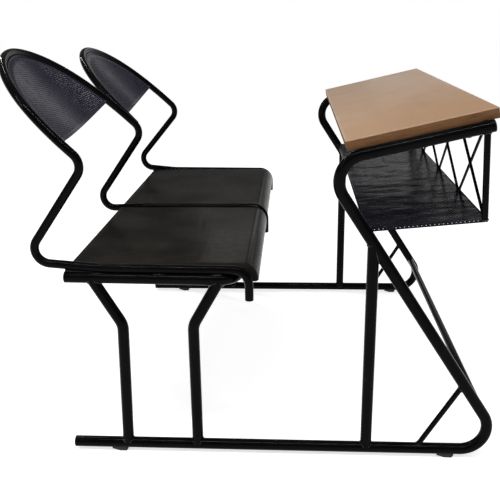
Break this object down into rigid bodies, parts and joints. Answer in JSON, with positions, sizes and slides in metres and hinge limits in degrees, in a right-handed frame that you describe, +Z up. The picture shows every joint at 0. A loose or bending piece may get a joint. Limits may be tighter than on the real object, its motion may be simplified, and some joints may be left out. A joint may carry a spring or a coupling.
{
  "type": "school desk and chair",
  "caption": "Joined school desk and bench seats on a welded tube frame, with a sloping board, book shelf, pressed seats and hoop backs.",
  "frame": {"origin": "middle of the footprint, on the floor", "axes": "+X forward from the chairs to the desk, +Y to the sitters' left, +Z up"},
  "size_m": [1.1154, 1.0494, 0.9035],
  "materials": {
    "frame_paint": "gloss black powder coat",
    "sheet_paint": "satin black paint on perforated sheet",
    "board": "light brown laminate face, darker sawn edges",
    "plug_plastic": "moulded black plastic",
    "glide_rubber": "matt black rubber"
  },
  "bodies": {
    "root": {"right_side_tube": "frame_paint", "left_side_tube": "frame_paint", "right_desk_post": "frame_paint", "left_desk_post": "frame_paint", "right_corner_brace": "frame_paint", "left_corner_brace": "frame_paint", "right_rear_leg": "frame_paint", "left_rear_leg": "frame_paint", "right_front_leg": "frame_paint", "left_front_leg": "frame_paint", "seat_frame_tube": "frame_paint", "seat_cross_tube": "frame_paint", "low_cross_tube": "frame_paint", "desk_front_cross_tube": "frame_paint", "right_shelf_post": "frame_paint", "left_shelf_post": "frame_paint", "lattice_rod_1": "frame_paint", "lattice_rod_2": "frame_paint", "lattice_rod_3": "frame_paint", "lattice_rod_4": "frame_paint", "lattice_rod_5": "frame_paint", "lattice_rod_6": "frame_paint", "lattice_rod_7": "frame_paint", "lattice_rod_8": "frame_paint", "right_chair_tube": "frame_paint", "left_chair_tube": "frame_paint", "right_seat": "sheet_paint", "left_seat": "sheet_paint", "right_back_panel": "sheet_paint", "left_back_panel": "sheet_paint", "book_shelf": "sheet_paint", "desk_board": "board", "right_skid_plug": "plug_plastic", "left_skid_plug": "plug_plastic", "right_rail_plug": "plug_plastic", "left_rail_plug": "plug_plastic", "right_seat_frame_plug": "plug_plastic", "left_seat_frame_plug": "plug_plastic", "right_stub_plug": "plug_plastic", "middle_stub_plug": "plug_plastic", "left_stub_plug": "plug_plastic", "right_rear_glide": "glide_rubber", "left_rear_glide": "glide_rubber", "right_front_glide": "glide_rubber", "left_front_glide": "glide_rubber"}
  },
  "joints": []
}
